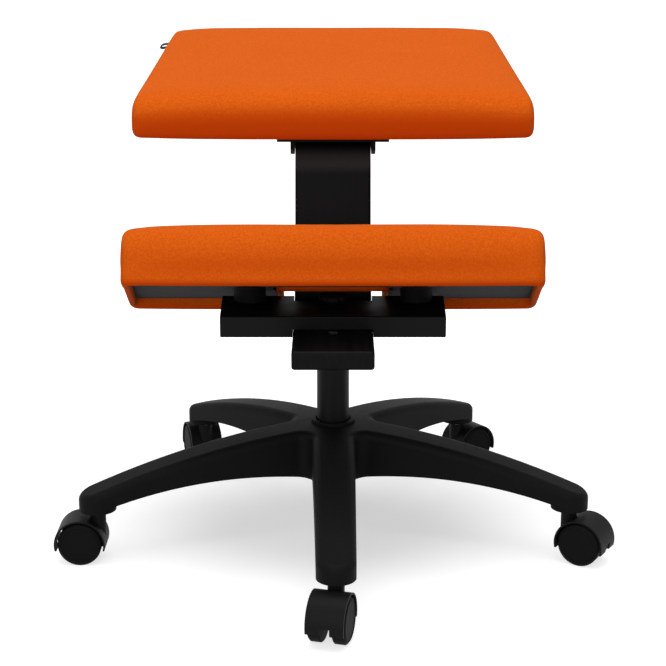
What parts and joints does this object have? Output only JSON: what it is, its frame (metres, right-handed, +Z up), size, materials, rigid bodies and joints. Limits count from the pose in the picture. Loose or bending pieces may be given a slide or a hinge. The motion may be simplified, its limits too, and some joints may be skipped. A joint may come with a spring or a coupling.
{
  "type": "kneeling chair",
  "caption": "Kneeling chair with an orange padded seat and knee rest on a bent laminated arm, gas-lift column and star base on twin-wheel castors.",
  "frame": {"origin": "on the floor under the axis of the gas column", "axes": "+Z up, -Y towards the front (the knee pad's side), +X to the right as seen from the front"},
  "size_m": [0.6441, 0.6785, 0.5705],
  "materials": {
    "moulded_black": "fine grained",
    "castor_black": "smooth",
    "wheel_black": "smooth",
    "white_plastic": "smooth",
    "steel": "zinc plated",
    "black_paint": "satin",
    "black_wood": "stained black, satin lacquer",
    "black_board": "black lacquer",
    "plywood": "raw",
    "grey_lining": "felted",
    "orange_wool": "felted wool",
    "black_tape": "woven tape"
  },
  "bodies": {
    "base": {"five_star_base": "moulded_black", "stem_sockets": "steel", "hub_collar": "moulded_black", "stand_tube": "black_paint", "guide_bush": "moulded_black", "thrust_bearing": "steel"},
    "rod": {"piston_rod": "steel", "rod_clip": "steel", "piston": "steel"},
    "upper": {"pressure_tube": "black_paint", "column_head": "black_paint", "head_bolts": "steel", "laminated_arm": "black_wood", "seat_bracket": "black_paint", "bracket_screws": "steel", "seat_spacer": "moulded_black", "seat_screws": "steel", "seat_board": "plywood", "seat_lining": "grey_lining", "seat_cushion": "orange_wool", "seat_tag": "black_tape"},
    "lever": {"release_lever": "steel", "lever_grip": "moulded_black"},
    "pin": {"release_pin": "steel"},
    "knee": {"knee_crossbar": "black_board", "glide_strips": "white_plastic", "spacer_post_left": "moulded_black", "spacer_post_right": "moulded_black", "post_screws": "steel", "knee_lining": "grey_lining", "knee_board": "plywood", "knee_cushion": "orange_wool", "clamp_nut": "steel"},
    "knob": {"clamp_knob": "moulded_black"},
    "castor_1": {"castor_1_hood": "castor_black", "castor_1_stem": "steel", "castor_1_axle": "steel"},
    "castor_1_wheel_left": {"castor_1_wheel_left": "wheel_black"},
    "castor_1_wheel_right": {"castor_1_wheel_right": "wheel_black"},
    "castor_2": {"castor_2_hood": "castor_black", "castor_2_stem": "steel", "castor_2_axle": "steel"},
    "castor_2_wheel_left": {"castor_2_wheel_left": "wheel_black"},
    "castor_2_wheel_right": {"castor_2_wheel_right": "wheel_black"},
    "castor_3": {"castor_3_hood": "castor_black", "castor_3_stem": "steel", "castor_3_axle": "steel"},
    "castor_3_wheel_left": {"castor_3_wheel_left": "wheel_black"},
    "castor_3_wheel_right": {"castor_3_wheel_right": "wheel_black"},
    "castor_4": {"castor_4_hood": "castor_black", "castor_4_stem": "steel", "castor_4_axle": "steel"},
    "castor_4_wheel_left": {"castor_4_wheel_left": "wheel_black"},
    "castor_4_wheel_right": {"castor_4_wheel_right": "wheel_black"},
    "castor_5": {"castor_5_hood": "castor_black", "castor_5_stem": "steel", "castor_5_axle": "steel"},
    "castor_5_wheel_left": {"castor_5_wheel_left": "wheel_black"},
    "castor_5_wheel_right": {"castor_5_wheel_right": "wheel_black"}
  },
  "joints": [
    {"name": "column_swivel", "type": "hinge", "parent": "base", "child": "rod", "pos_m": [0, 0, 0.1], "axis": [0, 0, 1], "continuous": true},
    {"name": "height_lift", "type": "slide", "parent": "rod", "child": "upper", "axis": [0, 0, 1], "range_m": [0, 0.1]},
    {"name": "lever_turn", "type": "hinge", "parent": "upper", "child": "lever", "pos_m": [0, 0.022, 0.2418], "axis": [1, 0, 0], "range_deg": [0, 8]},
    {"name": "pin_press", "type": "slide", "parent": "upper", "child": "pin", "axis": [0, 0, 1], "range_m": [-0.0042, 0]},
    {"name": "knee_slide", "type": "slide", "parent": "upper", "child": "knee", "axis": [0, -1, 0], "range_m": [0, 0.06]},
    {"name": "knob_turn", "type": "hinge", "parent": "knee", "child": "knob", "pos_m": [0, -0.04, 0.3], "axis": [0, 0, 1], "range_deg": [0, 270]},
    {"name": "castor_1_swivel", "type": "hinge", "parent": "base", "child": "castor_1", "pos_m": [0.00323, -0.28498, 0.06], "axis": [0, 0, 1], "continuous": true},
    {"name": "castor_1_roll_left", "type": "hinge", "parent": "castor_1", "child": "castor_1_wheel_left", "pos_m": [-0.00194, -0.3043, 0.025], "axis": [0.9659, -0.2588, 0], "continuous": true},
    {"name": "castor_1_roll_right", "type": "hinge", "parent": "castor_1", "child": "castor_1_wheel_right", "pos_m": [-0.00194, -0.3043, 0.025], "axis": [0.9659, -0.2588, 0], "continuous": true},
    {"name": "castor_2_swivel", "type": "hinge", "parent": "base", "child": "castor_2", "pos_m": [0.27203, -0.08499, 0.06], "axis": [0, 0, 1], "continuous": true},
    {"name": "castor_2_roll_left", "type": "hinge", "parent": "castor_2", "child": "castor_2_wheel_left", "pos_m": [0.28935, -0.09499, 0.025], "axis": [0.5, 0.866, 0], "continuous": true},
    {"name": "castor_2_roll_right", "type": "hinge", "parent": "castor_2", "child": "castor_2_wheel_right", "pos_m": [0.28935, -0.09499, 0.025], "axis": [0.5, 0.866, 0], "continuous": true},
    {"name": "castor_3_swivel", "type": "hinge", "parent": "base", "child": "castor_3", "pos_m": [0.16489, 0.23245, 0.06], "axis": [0, 0, 1], "continuous": true},
    {"name": "castor_3_roll_left", "type": "hinge", "parent": "castor_3", "child": "castor_3_wheel_left", "pos_m": [0.18127, 0.24393, 0.025], "axis": [-0.5736, 0.8192, 0], "continuous": true},
    {"name": "castor_3_roll_right", "type": "hinge", "parent": "castor_3", "child": "castor_3_wheel_right", "pos_m": [0.18127, 0.24393, 0.025], "axis": [-0.5736, 0.8192, 0], "continuous": true},
    {"name": "castor_4_swivel", "type": "hinge", "parent": "base", "child": "castor_4", "pos_m": [-0.17012, 0.22865, 0.06], "axis": [0, 0, 1], "continuous": true},
    {"name": "castor_4_roll_left", "type": "hinge", "parent": "castor_4", "child": "castor_4_wheel_left", "pos_m": [-0.1763, 0.24768, 0.025], "axis": [-0.9511, -0.309, 0], "continuous": true},
    {"name": "castor_4_roll_right", "type": "hinge", "parent": "castor_4", "child": "castor_4_wheel_right", "pos_m": [-0.1763, 0.24768, 0.025], "axis": [-0.9511, -0.309, 0], "continuous": true},
    {"name": "castor_5_swivel", "type": "hinge", "parent": "base", "child": "castor_5", "pos_m": [-0.27004, -0.09114, 0.06], "axis": [0, 0, 1], "continuous": true},
    {"name": "castor_5_roll_left", "type": "hinge", "parent": "castor_5", "child": "castor_5_wheel_left", "pos_m": [-0.29003, -0.09114, 0.025], "axis": [0, -1, 0], "continuous": true},
    {"name": "castor_5_roll_right", "type": "hinge", "parent": "castor_5", "child": "castor_5_wheel_right", "pos_m": [-0.29003, -0.09114, 0.025], "axis": [0, -1, 0], "continuous": true}
  ],
  "couplings": [
    {"joint": "pin_press", "follows": "lever_turn", "m_per_rad": -0.024}
  ]
}
